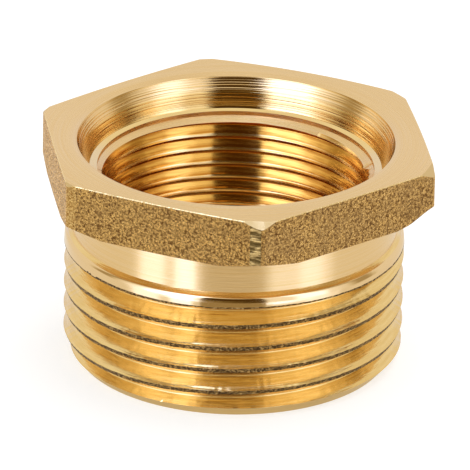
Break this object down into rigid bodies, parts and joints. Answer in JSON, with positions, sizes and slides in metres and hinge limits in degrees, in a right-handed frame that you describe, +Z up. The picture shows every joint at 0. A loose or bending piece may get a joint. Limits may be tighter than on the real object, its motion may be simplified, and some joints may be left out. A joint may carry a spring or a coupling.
{
  "type": "hex bushing",
  "caption": "Brass reducing bushing with a hexagon head, a coarse outer pipe thread and a stepped mouth leading to a finer inner thread.",
  "frame": {"origin": "centre of the threaded end face, on the bore axis", "axes": "+Z up along the bore, from the threaded end to the hexagon head; +X towards a corner of the hexagon, +Y towards a flat"},
  "size_m": [0.0403, 0.0356, 0.0224],
  "materials": {
    "brass": "satin turned faces, rough forged hexagon flats"
  },
  "bodies": {
    "root": {"hex_bushing": "brass"}
  },
  "joints": []
}
